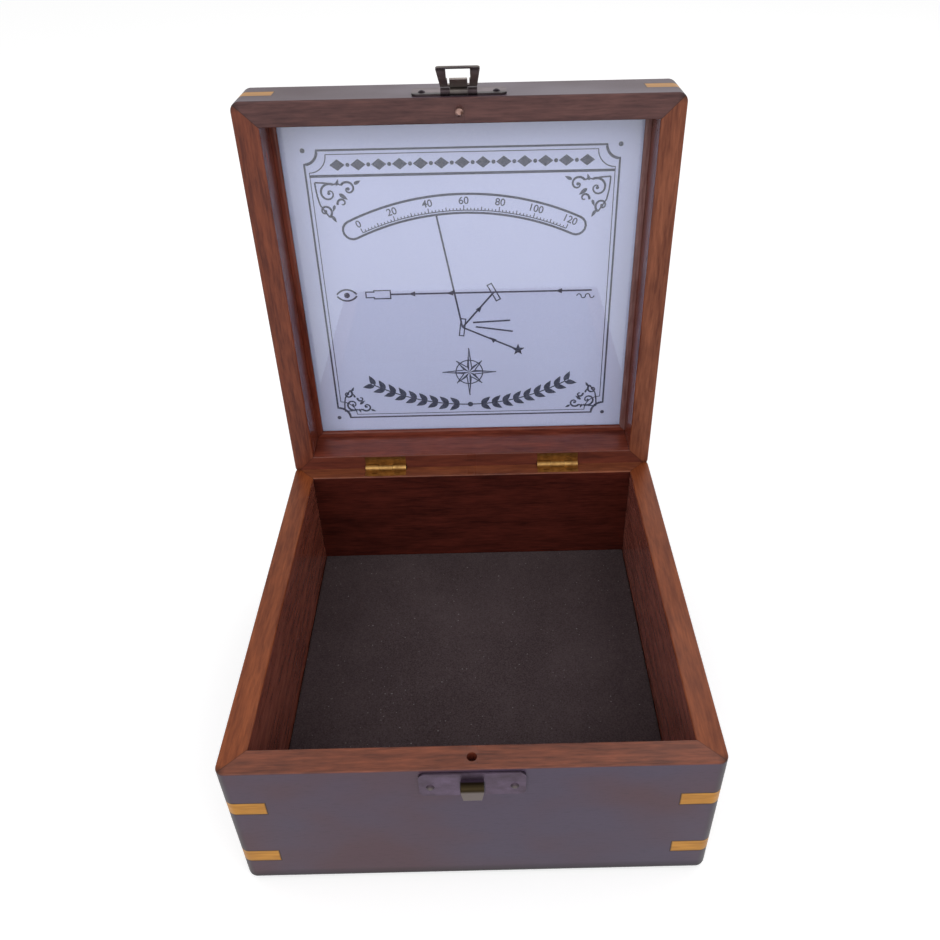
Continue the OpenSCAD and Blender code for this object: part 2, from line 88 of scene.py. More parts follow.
def addNode(tree, kind, inputs=None, **settings):
    # Adds a node with its settings and links
    node = tree.nodes.new("ShaderNode" + kind)
    for name, value in settings.items():
        setattr(node, name, value)
    fillSockets(tree, node, inputs or {})
    return node


def newMaterial(name, sockets):
    # A Principled material with these values on its own sockets
    material = bpy.data.materials.new(name)
    material.use_nodes = True
    shader = material.node_tree.nodes["Principled BSDF"]
    fillSockets(material.node_tree, shader, sockets)
    return material, material.node_tree, shader


def objectPlace(tree, onLid):
    # Object coordinates in millimetres, with the lid's turned to its shut place
    spot = addNode(tree, "TexCoord").outputs["Object"]
    if onLid:
        turned = {"Vector": spot, "Location": openToShut.translation, "Rotation": (openAngle, 0, 0)}
        spot = addNode(tree, "Mapping", turned)
    return addNode(tree, "VectorMath", {0: spot, "Scale": 1 / mm}, operation="SCALE")


def grain(tree, spot, size, turn=0.0, shift=0.0, detail=3.0):
    # Cells of the given size in millimetres, along the grain and across it
    moved = {"Vector": spot, "Location": (shift, shift * 0.7, shift * 0.4), "Rotation": (0, 0, turn)}
    aligned = addNode(tree, "Mapping", moved)
    cells = addNode(tree, "Mapping", {"Vector": aligned, "Scale": (1 / size[0], 1 / size[1], 1 / size[1])})
    return addNode(tree, "TexNoise", {"Vector": cells, "Scale": 1, "Detail": detail, "Roughness": 0.55})


# Rosewood, stained and polished. Outside it is hazy purple brown with soft clouds, reddish in one place and
# bluish in the next, the sawn rims are bare orange brown with short flecks, and the inside is deep red brown.
# Each zone has two tones that the pattern runs between. The boards have no mitres, and their flat faces are
# stained like the outside.
plainTones = {
    "outer": ("#4e3740", "#463a4d"),
    "rim": ("#5f2f20", "#8d4f33"),
    "inner": ("#56251d", "#84402f"),
    "mitre": 0.6,
}
boardTones = {**plainTones, "inner": plainTones["outer"], "mitre": 1.0}
wallTones = {
    "case_front": {"rim": ("#59342a", "#8b4f3a")},
    "case_back": {"inner": ("#34130f", "#55231b")},
    "case_left": {"rim": ("#6b3016", "#954f2b"), "inner": ("#693329", "#9c5746")},
    "case_right": {"rim": ("#672e15", "#8f4b29"), "inner": ("#6c3830", "#a05f52")},
    # The lid's front faces up with the lid open, and its outer tones are a lighter, greyer copy of the
    # outside's: painted sky reflection
    "lid_front": {"outer": ("#4d3a42", "#594956"), "rim": ("#41292a", "#63423f")},
    "lid_back": {"rim": ("#4e241c", "#74392a")},
    "lid_left": {"rim": ("#54271d", "#80432e")},
    "lid_right": {"rim": ("#61301f", "#8c5138")},
    "bead_right": {"inner": ("#6f4a48", "#97736f")},
}
rosewoodLook = {
    "clouds": (46, 30),
    "bands": (22, 3.4),
    "flecks": (7, 0.7),
    "pores": (2.6, 0.3),
    "fleckShare": 0.45,
    "insideFade": (0.1, 0.4),
    "rimFade": (0.25, 0.7),
    "mitreFade": (0.1, 0.3),
    "roughness": 0.4,
    "roughSpread": 0.06,
    "innerRoughness": 0.24,
    "specular": 0.25,
    "relief": 0.012,
    # painted shade along the bottom edge: heights in millimetres from black at the foot to none
    "bottomShade": (1.0, 5.5),
    # painted shade at the upright corners: its band inside the corner, and how dark it gets
    "shadedCornerBand": (3.2, 0.6),
    "shadedCornerDepth": 0.2,
    "boreHalf": 1.7,
    "boreDepth": 10.0,
    "skin": 2.0,
}


def rosewood(name, turn, shift, onLid, tones):
    look = rosewoodLook
    material, tree, shader = newMaterial(name, {"Specular IOR Level": look["specular"]})
    spot = objectPlace(tree, onLid)
    axes = addNode(tree, "SeparateXYZ", {0: spot}).outputs
    sideways = addNode(tree, "Math", {0: axes["X"]}, operation="ABSOLUTE")
    lengthways = addNode(tree, "Math", {0: axes["Y"]}, operation="ABSOLUTE")

    # Inner faces lie inside the ring of the walls, and the rims within a millimetre of the seam
    ring = addNode(tree, "Math", {0: sideways, 1: lengthways}, operation="MAXIMUM")
    innerFace = caseSize["half"] - caseSize["wall"]
    insideStep = {
        "Value": ring,
        "From Min": innerFace + look["insideFade"][0],
        "From Max": innerFace + look["insideFade"][1],
        "To Min": 1,
        "To Max": 0,
    }
    inside = addNode(tree, "MapRange", insideStep)
    above = addNode(tree, "Math", {0: axes["Z"], 1: caseSize["seam"]}, operation="SUBTRACT")
    fromSeam = addNode(tree, "Math", {0: above}, operation="ABSOLUTE")
    rimStart, rimEnd = look["rimFade"]
    rimStep = {"Value": fromSeam, "From Min": rimStart, "From Max": rimEnd, "To Min": 1, "To Max": 0}
    onRim = addNode(tree, "MapRange", rimStep)

    # The peg's bores, sunk in the middle of the front rims, are bare red wood like the inside
    byMiddle = addNode(tree, "Math", {0: sideways, 1: look["boreHalf"]}, operation="LESS_THAN")
    underSkin = {0: lengthways, 1: caseSize["half"] - look["skin"]}
    inWall = addNode(tree, "Math", underSkin, operation="LESS_THAN")
    nearSeam = addNode(tree, "Math", {0: fromSeam, 1: look["boreDepth"]}, operation="LESS_THAN")
    inBore = addNode(tree, "Math", {0: byMiddle, 1: inWall}, operation="MULTIPLY")
    inBore = addNode(tree, "Math", {0: inBore, 1: nearSeam}, operation="MULTIPLY")
    inside = addNode(tree, "Math", {0: inside, 1: inBore}, operation="MAXIMUM")

    clouds = grain(tree, spot, look["clouds"], turn, shift, 2)
    bands = grain(tree, spot, look["bands"], turn, shift, 3)
    flecks = grain(tree, spot, look["flecks"], turn, shift, 3)
    pores = grain(tree, spot, look["pores"], turn, shift, 1)
    fleckMix = addNode(tree, "Mix", {0: look["fleckShare"], 2: bands, 3: flecks})
    softShade = addNode(tree, "MapRange", {"Value": clouds, "From Min": 0.36, "From Max": 0.62})
    fleckShade = addNode(tree, "MapRange", {"Value": fleckMix, "From Min": 0.36, "From Max": 0.64})

    zone = {}
    for key, shade in (("outer", softShade), ("rim", fleckShade), ("inner", fleckShade)):
        dark, light = [hexColour(tone) for tone in tones[key]]
        zone[key] = addNode(tree, "Mix", {0: shade, 6: dark, 7: light}, data_type="RGBA")
    faces = addNode(tree, "Mix", {0: inside, 6: zone["outer"], 7: zone["inner"]}, data_type="RGBA")
    toned = addNode(tree, "Mix", {0: onRim, 6: faces, 7: zone["rim"]}, data_type="RGBA")

    # Pores and the glue line of the mitres darken it, and painted shade darkens it along the bottom edge and
    # at the upright corners
    poreStep = {"Value": pores, "From Min": 0.55, "From Max": 0.72, "To Min": 1, "To Max": 0.84}
    poreShade = addNode(tree, "MapRange", poreStep)
    # Painted shade along the upright corners
    nearer = addNode(tree, "Math", {0: sideways, 1: lengthways}, operation="MINIMUM")
    shadedCornerStep = {
        "Value": nearer,
        "From Min": caseSize["half"] - look["shadedCornerBand"][0],
        "From Max": caseSize["half"] - look["shadedCornerBand"][1],
        "To Min": 1,
        "To Max": look["shadedCornerDepth"],
    }
    paintedCornerShade = addNode(tree, "MapRange", shadedCornerStep)
    across = addNode(tree, "Math", {0: sideways, 1: lengthways}, operation="SUBTRACT")
    fromMitre = addNode(tree, "Math", {0: across}, operation="ABSOLUTE")
    lineStart, lineEnd = look["mitreFade"]
    mitreStep = {"Value": fromMitre, "From Min": lineStart, "From Max": lineEnd, "To Min": tones["mitre"]}
    mitreShade = addNode(tree, "MapRange", mitreStep)
    # Painted shade along the bottom edge
    bottomShadeStep = {"Value": axes["Z"], "From Min": look["bottomShade"][0], "From Max": look["bottomShade"][1]}
    paintedBottomShade = addNode(tree, "MapRange", bottomShadeStep)
    shaded = poreShade
    for shade in (mitreShade, paintedCornerShade, paintedBottomShade):
        shaded = addNode(tree, "Math", {0: shaded, 1: shade}, operation="MULTIPLY")
    colour = addNode(tree, "Mix", {0: 1.0, 6: toned, 7: shaded}, data_type="RGBA", blend_type="MULTIPLY")

    height = addNode(tree, "Math", {0: poreShade, 1: flecks}, operation="ADD")
    bump = addNode(tree, "Bump", {"Height": height, "Distance": look["relief"] * mm, "Strength": 0.5})
    roughStep = {
        "Value": clouds,
        "From Min": 0.3,
        "From Max": 0.7,
        "To Min": look["roughness"] + look["roughSpread"],
        "To Max": look["roughness"] - look["roughSpread"],
    }
    satin = addNode(tree, "MapRange", roughStep)
    rough = addNode(tree, "Mix", {0: inside, 2: satin, 3: look["innerRoughness"]})
    fillSockets(tree, shader, {"Base Color": colour, "Normal": bump, "Roughness": rough})
    return material


# Golden light wood of the corner keys, sawn along its grain and polished flush: fine even streaks, and a thin
# dark glue line where each key meets the wall
keyLook = {
    "dark": "#9a651c",
    "light": "#c88c36",
    "glue": "#22100a",
    "glueFade": (0.15, 0.6),
    "streaks": (9, 0.35),
    "bands": (14, 2.0),
    "relief": 0.015,
    "far": 100.0,
}


def keyWood(name, onLid):
    look = keyLook
    material, tree, shader = newMaterial(name, {"Roughness": 0.4, "Specular IOR Level": 0.2})
    axes = addNode(tree, "SeparateXYZ", {0: objectPlace(tree, onLid)}).outputs
    sideways = addNode(tree, "Math", {0: axes["X"]}, operation="ABSOLUTE")
    lengthways = addNode(tree, "Math", {0: axes["Y"]}, operation="ABSOLUTE")
    reach = addNode(tree, "Math", {0: sideways, 1: lengthways}, operation="ADD")

    # The grain runs along each key, slantwise across its corner
    along = addNode(tree, "Math", {0: sideways, 1: lengthways}, operation="SUBTRACT")
    slant = addNode(tree, "CombineXYZ", {0: along, 2: axes["Z"]})
    streaks = grain(tree, slant, look["streaks"], 0, 31)
    bands = grain(tree, slant, look["bands"], 0, 17, 2)
    mixed = addNode(tree, "Mix", {0: 0.5, 2: streaks, 3: bands})
    shade = addNode(tree, "MapRange", {"Value": mixed, "From Min": 0.36, "From Max": 0.62})
    ends = {0: shade, 6: hexColour(look["dark"]), 7: hexColour(look["light"])}
    wood = addNode(tree, "Mix", ends, data_type="RGBA")

    # How far a point lies inside its key's outline: from the slanted inner end, and from the top and bottom
    innerEnd = 2 * caseSize["half"] - keySize["leg"]
    fromEnd = addNode(tree, "Math", {0: reach, 1: innerEnd}, operation="SUBTRACT")
    toEdge = fromEnd
    for level in keySize["levels"]:
        offset = addNode(tree, "Math", {0: axes["Z"], 1: level}, operation="SUBTRACT")
        distance = addNode(tree, "Math", {0: offset}, operation="ABSOLUTE")
        inHeight = addNode(tree, "Math", {0: keySize["height"] / 2, 1: distance}, operation="SUBTRACT")
        # Points on another level's key count as far away, so that only their own key's edges darken them
        apart = addNode(tree, "Math", {0: inHeight, 1: 0.0}, operation="LESS_THAN")
        own = addNode(tree, "Math", {0: apart, 1: look["far"], 2: inHeight}, operation="MULTIPLY_ADD")
        toEdge = addNode(tree, "Math", {0: toEdge, 1: own}, operation="MINIMUM")
    glueStart, glueEnd = look["glueFade"]
    glueStep = {"Value": toEdge, "From Min": glueStart, "From Max": glueEnd, "To Min": 1, "To Max": 0}
    glue = addNode(tree, "MapRange", glueStep)
    colour = addNode(tree, "Mix", {0: glue, 6: wood, 7: hexColour(look["glue"])}, data_type="RGBA")
    bump = addNode(tree, "Bump", {"Height": streaks, "Distance": look["relief"] * mm, "Strength": 0.5})
    fillSockets(tree, shader, {"Base Color": colour, "Normal": bump})
    return material


# Pressed brass, darkened to a bronze brown grey by age: satin, with slow clouds of tarnish and fine rubbing
# marks. The hook keeps olive tarnish in its bend, and its nose below the bend is painted pale: a painted
# highlight.
# The knuckles round the hasp's pin are darkened with painted shade, and the hasp darkens towards its free
# end.
agedBrassLook = {
    "plate": ("#473c45", "#655669"),
    # the latch plate faces up with the lid open and takes a lighter copy of the plate's tones: painted light
    # from above
    "lidPlateLit": ("#574a4d", "#7b6d72"),
    # the nail heads take a darker copy of the plate's tones: painted shade on their domes
    "nail": ("#2b242a", "#453b43"),
    "hasp": ("#80767a", "#aca49b"),
    "bend": "#2f271a",
    # painted highlight on the hook's nose
    "nose": "#6d6461",
    # painted shade round the hasp's pin, then darkening towards the free end: distances from the pin and the
    # share kept
    "pinShade": (1.25, 2.0, 0.3),
    "free": (10.3, 11.4, 0.45),
    "clouds": (7, 4),
    "rubs": (2.5, 0.12),
    "rubShare": 0.25,
    "roughness": (0.5, 0.34),
    "relief": 0.01,
}
# Places on the case, in millimetres: the hook stands out in front of its plate, with its nose below its bend
hookSize = {"outFrom": -71.5, "outTo": -71.1, "noseTop": 48.9, "noseFade": 0.8}


def agedBrass(name, onLid, tones):
    look = agedBrassLook
    material, tree, shader = newMaterial(name, {"Metallic": 1.0})
    spot = objectPlace(tree, onLid)
    clouds = grain(tree, spot, look["clouds"], 0, 5)
    rubs = grain(tree, spot, look["rubs"], 0.3, 9, 2)
    mixed = addNode(tree, "Mix", {0: look["rubShare"], 2: clouds, 3: rubs})
    shade = addNode(tree, "MapRange", {"Value": mixed, "From Min": 0.32, "From Max": 0.68})
    ends = {0: shade, 6: hexColour(tones[0]), 7: hexColour(tones[1])}
    colour = addNode(tree, "Mix", ends, data_type="RGBA")
    if not onLid:
        axes = addNode(tree, "SeparateXYZ", {0: spot}).outputs
        outStep = {"Value": axes["Y"], "From Min": hookSize["outFrom"], "From Max": hookSize["outTo"]}
        outward = addNode(tree, "MapRange", {**outStep, "To Min": 1, "To Max": 0})
        # The hook's nose below its bend is painted pale, a painted highlight
        noseTop = hookSize["noseTop"]
        noseStep = {"Value": axes["Z"], "From Min": noseTop - hookSize["noseFade"], "From Max": noseTop}
        paintedNoseHighlight = addNode(tree, "MapRange", {**noseStep, "To Min": 1, "To Max": 0})
        ends = {0: paintedNoseHighlight, 6: hexColour(look["bend"]), 7: hexColour(look["nose"])}
        hook = addNode(tree, "Mix", ends, data_type="RGBA")
        colour = addNode(tree, "Mix", {0: outward, 6: colour, 7: hook}, data_type="RGBA")
    else:
        # How far a point lies from the pin's axis, whatever its place along it
        crosswise = addNode(tree, "VectorMath", {0: spot, 1: (0, 1, 1)}, operation="MULTIPLY")
        pinPlace = openToShut @ haspPin / mm
        fromPin = addNode(tree, "VectorMath", {0: crosswise, 1: pinPlace}, operation="DISTANCE")
        distance = fromPin.outputs["Value"]
        # Painted shade on the knuckles round the pin, and darkening towards the free end
        pinShade = dict(zip(("From Min", "From Max", "To Min"), look["pinShade"]))
        free = dict(zip(("From Min", "From Max", "To Max"), look["free"]))
        pinShaded = addNode(tree, "MapRange", {"Value": distance, **pinShade})
        ended = addNode(tree, "MapRange", {"Value": distance, **free, "To Min": 1})
        pinShadeAndEndDarkening = addNode(tree, "Math", {0: pinShaded, 1: ended}, operation="MULTIPLY")
        colour = addNode(tree, "Mix", {0: 1.0, 6: colour, 7: pinShadeAndEndDarkening}, data_type="RGBA", blend_type="MULTIPLY")
    dull, bright = look["roughness"]
    rough = addNode(tree, "MapRange", {"Value": mixed, "To Min": dull, "To Max": bright})
    bump = addNode(tree, "Bump", {"Height": mixed, "Distance": look["relief"] * mm, "Strength": 0.4})
    fillSockets(tree, shader, {"Base Color": colour, "Roughness": rough, "Normal": bump})
    return material


# Plain rolled brass, lightly tarnished: yellow metal with brown clouds. The peg's tones run from dark brown
# to pale pink.
plainBrassLook = {
    "leaf": ("#7a5a34", "#a98450"),
    "peg": ("#4a2d22", "#c3a096"),
    "clouds": (2.4, 1.6),
    "roughness": (0.5, 0.28),
}


def plainBrass(name, onLid, tones):
    look = plainBrassLook
    material, tree, shader = newMaterial(name, {"Metallic": 1.0})
    clouds = grain(tree, objectPlace(tree, onLid), look["clouds"], 0, 12, 4)
    shade = addNode(tree, "MapRange", {"Value": clouds, "From Min": 0.3, "From Max": 0.7})
    ends = {0: shade, 6: hexColour(tones[0]), 7: hexColour(tones[1])}
    colour = addNode(tree, "Mix", ends, data_type="RGBA")
    dull, bright = look["roughness"]
    rough = addNode(tree, "MapRange", {"Value": clouds, "To Min": dull, "To Max": bright})
    fillSockets(tree, shader, {"Base Color": colour, "Roughness": rough})
    return material


# Pressed wool felt, dyed near black: matt with a little sheen, tiny hairs and a few pale specks of dust
feltLook = {
    "dark": "#3a2f31",
    "light": "#524648",
    "speck": "#a09a9c",
    "hair": 0.45,
    "cloud": 22,
    "cloudShare": 0.25,
    "dust": 0.8,
    "relief": 0.15,
}


def woolFelt(name):
    look = feltLook
    sockets = {"Roughness": 0.95, "Specular IOR Level": 0.1, "Sheen Weight": 0.08}
    material, tree, shader = newMaterial(name, sockets)
    spot = objectPlace(tree, False)
    hair = grain(tree, spot, (look["hair"],) * 2, 0, 3)
    cloud = grain(tree, spot, (look["cloud"],) * 2, 0, 8, 2)
    dust = grain(tree, spot, (look["dust"],) * 2, 0, 21, 0)
    mixed = addNode(tree, "Mix", {0: look["cloudShare"], 2: hair, 3: cloud})
    shade = addNode(tree, "MapRange", {"Value": mixed, "From Min": 0.36, "From Max": 0.64})
    ends = {0: shade, 6: hexColour(look["dark"]), 7: hexColour(look["light"])}
    cloth = addNode(tree, "Mix", ends, data_type="RGBA")
    dustStep = {"Value": dust, "From Min": 0.8, "From Max": 0.86, "To Min": 0, "To Max": 0.5}
    dusty = addNode(tree, "MapRange", dustStep)
    colour = addNode(tree, "Mix", {0: dusty, 6: cloth, 7: hexColour(look["speck"])}, data_type="RGBA")
    bump = addNode(tree, "Bump", {"Height": hair, "Distance": look["relief"] * mm, "Strength": 0.7})
    fillSockets(tree, shader, {"Base Color": colour, "Normal": bump})
    return material


# Smooth coated card: cool white with the faintest fibres
cardLook = {"dark": "#bec2e0", "light": "#c7cae6", "fibre": (1.4, 0.5)}


def whiteCard(name):
    look = cardLook
    material, tree, shader = newMaterial(name, {"Roughness": 0.75, "Specular IOR Level": 0.2})
    fibre = grain(tree, objectPlace(tree, True), look["fibre"], 0.4, 2)
    shade = addNode(tree, "MapRange", {"Value": fibre, "From Min": 0.3, "From Max": 0.7})
    ends = {0: shade, 6: hexColour(look["dark"]), 7: hexColour(look["light"])}
    fillSockets(tree, shader, {"Base Color": addNode(tree, "Mix", ends, data_type="RGBA")})
    return material


# Slate grey printing ink: matt, a little uneven where it has soaked into the card
inkLook = {"dark": "#3d3f50", "light": "#55586c", "soak": (0.7, 0.7)}


def printingInk(name):
    look = inkLook
    material, tree, shader = newMaterial(name, {"Roughness": 0.6, "Specular IOR Level": 0.2})
    soak = grain(tree, objectPlace(tree, True), look["soak"], 0, 14, 2)
    shade = addNode(tree, "MapRange", {"Value": soak, "From Min": 0.35, "From Max": 0.65})
    ends = {0: shade, 6: hexColour(look["dark"]), 7: hexColour(look["light"])}
    fillSockets(tree, shader, {"Base Color": addNode(tree, "Mix", ends, data_type="RGBA")})
    return material


# Float glass: clear and mirror smooth, with a faint haze of wiping marks. Lamps shine through it on the card.
glassLook = {"colour": "#f7f9fb", "wipe": (40, 3), "haze": 0.05}


def floatGlass(name):
    look = glassLook
    sockets = {"Base Color": hexColour(look["colour"]), "Transmission Weight": 1.0, "IOR": 1.5}
    material, tree, shader = newMaterial(name, sockets)
    wipe = grain(tree, objectPlace(tree, True), look["wipe"], 0.5, 6)
    wiped = {"Value": wipe, "From Min": 0.4, "From Max": 0.8, "To Max": look["haze"]}
    fillSockets(tree, shader, {"Roughness": addNode(tree, "MapRange", wiped)})
    path = addNode(tree, "LightPath").outputs
    clear = addNode(tree, "BsdfTransparent")
    lit = addNode(tree, "MixShader", {0: path["Is Shadow Ray"], 1: shader, 2: clear})
    fillSockets(tree, tree.nodes["Material Output"], {"Surface": lit})
    return material


def dress(names, material):
    for name in names:
        mesh = frame["nodes"][name].data
        mesh.materials.clear()
        mesh.materials.append(material)


wallTurns = {"front": 0, "back": 0, "left": quarter, "right": quarter}
for number, (side, turn) in enumerate(wallTurns.items()):
    for onLid, part in enumerate(("case", "lid")):
        tones = {**plainTones, **wallTones.get(f"{part}_{side}", {})}
        name = f"rosewood{part.title()}{side.title()}"
        dress([f"{part}_{side}"], rosewood(name, turn, 40 * number + 200 * onLid, bool(onLid), tones))
    tones = {**plainTones, **wallTones.get(f"bead_{side}", {})}
    name = f"rosewoodBead{side.title()}"
    dress([f"pane_bead_{side}"], rosewood(name, turn, 40 * number + 400, True, tones))
dress(["case_bottom", "bed_board"], rosewood("rosewoodBottom", 0, 600, False, boardTones))
dress(["lid_top"], rosewood("rosewoodLidTop", 0, 700, True, boardTones))
dress(["case_corner_keys"], keyWood("keyWoodCase", False))
dress(["lid_corner_keys"], keyWood("keyWoodLid", True))
dress(["strike_plate"], agedBrass("agedBrassCase", False, agedBrassLook["plate"]))
dress(["strike_plate_nails"], agedBrass("agedBrassCaseNails", False, agedBrassLook["nail"]))
dress(["latch_plate"], agedBrass("agedBrassLid", True, agedBrassLook["lidPlateLit"]))
dress(["latch_plate_nails"], agedBrass("agedBrassLidNails", True, agedBrassLook["nail"]))
dress(["hasp", "hasp_pin"], agedBrass("agedBrassHasp", True, agedBrassLook["hasp"]))
hingeParts = [name for name in frame["nodes"] if name.startswith("hinge_")]
caseHinges = [name for name in hingeParts if "lid" not in name]
lidHinges = [name for name in hingeParts if "lid" in name]
dress(caseHinges, plainBrass("plainBrassCase", False, plainBrassLook["leaf"]))
dress(lidHinges, plainBrass("plainBrassLid", True, plainBrassLook["leaf"]))
dress(["lid_peg"], plainBrass("plainBrassPeg", True, plainBrassLook["peg"]))
dress(["lid_pane"], floatGlass("floatGlass"))
print("case, lid, keys and fittings dressed")


def selectOnly(piece):
    bpy.ops.object.select_all(action="DESELECT")
    piece.select_set(True)
    bpy.context.view_layer.objects.active = piece


def applyModifiers(piece):
    selectOnly(piece)
    for modifier in list(piece.modifiers):
        bpy.ops.object.modifier_apply(modifier=modifier.name)


# Felt that lies loose on the bed board, with soft cut edges. Sizes in millimetres.
feltCut = {"cells": 96, "ripple": 0.06, "rippleSize": 26, "edge": 0.35}


def makeFelt():
    low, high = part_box("bed_felt")
    size = high - low
    bpy.ops.object.select_all(action="DESELECT")
    bpy.ops.mesh.primitive_grid_add(x_subdivisions=feltCut["cells"], y_subdivisions=feltCut["cells"], size=1)
    felt = bpy.context.object
    felt.name = "bedFeltSheet"
    felt.scale = (size.x, size.y, 1)
    felt.location = ((low.x + high.x) / 2, (low.y + high.y) / 2, high.z - 2 * feltCut["ripple"] * mm)
    bpy.ops.object.transform_apply(location=True, rotation=True, scale=True)
    for vertex in felt.data.vertices:
        vertex.co.z += noise.noise(vertex.co / (feltCut["rippleSize"] * mm)) * feltCut["ripple"] * mm
    solid = felt.modifiers.new("thickness", "SOLIDIFY")
    solid.thickness = size.z - 4 * feltCut["ripple"] * mm
    solid.offset = -1
    soft = felt.modifiers.new("softEdge", "BEVEL")
    soft.width = feltCut["edge"] * mm
    soft.segments = 2
    soft.limit_method = "ANGLE"
    applyModifiers(felt)
    bpy.ops.object.shade_smooth_by_angle(angle=math.radians(50))
    felt.data.materials.append(woolFelt("woolFelt"))
    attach(felt, "case")
    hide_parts("bed_felt")


makeFelt()
print("felt laid")

# The card and its print. Places are in millimetres from the card's middle, to the right and up as the open
# lid shows it, and angles in degrees anticlockwise from the right.
cardCut = {"gap": 0.3, "corner": 0.8, "sink": 0.08, "inkHeight": 0.03}
cardToOpen = (
    shutToOpen
    @ Matrix.Translation((0, 0, (caseSize["cardFace"] + cardCut["sink"]) * mm))
    @ Matrix.Rotation(math.pi, 4, "X")
    @ Matrix.Scale(mm, 4)
)
inkPieces = []


def keepInk(piece, spot=Matrix()):
    # Makes a curve or text a mesh, presses it to the height of the ink and puts it in its place
    bpy.context.scene.collection.objects.link(piece)
    selectOnly(piece)
    bpy.ops.object.convert(target="MESH")
    inked = bpy.context.object
    heights = [vertex.co.z for vertex in inked.data.vertices]
    pressed = Matrix.Scale(cardCut["inkHeight"] / (max(heights) - min(heights)), 4, (0, 0, 1))
    inked.data.transform(spot @ pressed)
    inkPieces.append(inked)


def inkLines(lines, width, closed=False, taper=1.0):
    # Draws each list of points as a line of the given width, which may thin towards its end
    curve = bpy.data.curves.new("inkLine", "CURVE")
    curve.dimensions = "3D"
    curve.bevel_depth = width / 2
    curve.bevel_resolution = 1
    for points in lines:
        spline = curve.splines.new("POLY")
        spline.points.add(len(points) - 1)
        spline.use_cyclic_u = closed
        for index, (point, (x, y)) in enumerate(zip(spline.points, points)):
            point.co = (x, y, 0, 1)
            point.radius = 1 + (taper - 1) * index / (len(points) - 1)
    keepInk(bpy.data.objects.new("inkLine", curve))


def inkShapes(outlines):
    # Fills each outline with ink
    curve = bpy.data.curves.new("inkShape", "CURVE")
    curve.dimensions = "2D"
    curve.fill_mode = "BOTH"
    curve.extrude = 1
    for points in outlines:
        spline = curve.splines.new("POLY")
        spline.points.add(len(points) - 1)
        spline.use_cyclic_u = True
        for point, (x, y) in zip(spline.points, points):
            point.co = (x, y, 0, 1)
    keepInk(bpy.data.objects.new("inkShape", curve))


def arcPoints(middle, radii, start, end, count=24):
    # Points on an arc or, where the two radii differ, on a spiral
    points = []
    for i in range(count):
        share = i / (count - 1)
        angle = math.radians(start + (end - start) * share)
        radius = radii[0] + (radii[1] - radii[0]) * share
        points.append((middle[0] + radius * math.cos(angle), middle[1] + radius * math.sin(angle)))
    return points


def placed(points, middle, angle=0.0, flip=(1, 1)):
    # Points turned about their own origin, flipped, and moved to the middle
    c, s = math.cos(math.radians(angle)), math.sin(math.radians(angle))
    return [(middle[0] + flip[0] * (x * c - y * s), middle[1] + flip[1] * (x * s + y * c)) for x, y in points]


def leafOutline(length, width):
    # A leaf from its stalk at the origin to its tip, fullest near the stalk
    upper = [(length * i / 8, width / 2 * math.sin(math.pi * (i / 8) ** 0.7)) for i in range(9)]
    return upper + [(x, -y) for x, y in upper[-2:0:-1]]


# Border of two lines with notched corners, a dot in each notch, and a rule that sets off a strip of diamonds
frameDraw = {
    "halfW": 53,
    "top": 50.5,
    "bottom": -54.5,
    "notch": 4.6,
    "line": 0.9,
    "thin": 0.4,
    "inset": 1.4,
    "dot": 0.8,
}
stripDraw = {"rule": 42, "middle": 45.6, "reach": 42, "step": 7, "diamond": (5.2, 3.8), "dot": 0.7}


def drawFrame():
    look = frameDraw
    for inset, width in ((0, look["line"]), (look["inset"], look["thin"])):
        border = []
        for sx, v, start in ((1, "top", 270), (-1, "top", 360), (-1, "bottom", 90), (1, "bottom", 180)):
            radius = look["notch"] + inset
            shift = inset if v == "bottom" else -inset
            middle = (sx * (look["halfW"] - inset), look[v] + shift)
            border += arcPoints(middle, (radius, radius), start, start - 90, 9)
        inkLines([border], width, True)
    dot = arcPoints((0, 0), (look["dot"],) * 2, 0, 337.5, 16)
    inkShapes([placed(dot, (sx * look["halfW"], look[v])) for sx in (-1, 1) for v in ("top", "bottom")])


def drawStrip():
    look = stripDraw
    reach = frameDraw["halfW"] - frameDraw["inset"]
    inkLines([[(-reach, look["rule"]), (reach, look["rule"])]], frameDraw["line"])
    halfW, halfH = look["diamond"][0] / 2, look["diamond"][1] / 2
    diamond = [(halfW, 0), (0, halfH), (-halfW, 0), (0, -halfH)]
    dot = arcPoints((0, 0), (look["dot"],) * 2, 0, 330, 12)
    stops = range(-look["reach"], look["reach"] + 1, look["step"])
    inkShapes([placed(diamond, (u, look["middle"])) for u in stops])
    inkShapes([placed(dot, (u + look["step"] / 2, look["middle"])) for u in stops[:-1]])


# Curved scale with ticks and plain numbers that run from the left, and the number that the pointer meets
scaleDraw = {
    "middle": (0, -62),
    "band": (90.4, 97),
    "line": 91.3,
    "half": 24.8,
    "reach": 23,
    "width": 0.8,
    "digitRing": 94.6,
    "digitSize": 3.6,
    "digitWeight": 0.05,
    "pointerAt": 44,
    "fine": 0.35,
    "ticks": {20: 1.7, 10: 1.3, 2: 0.8},
}


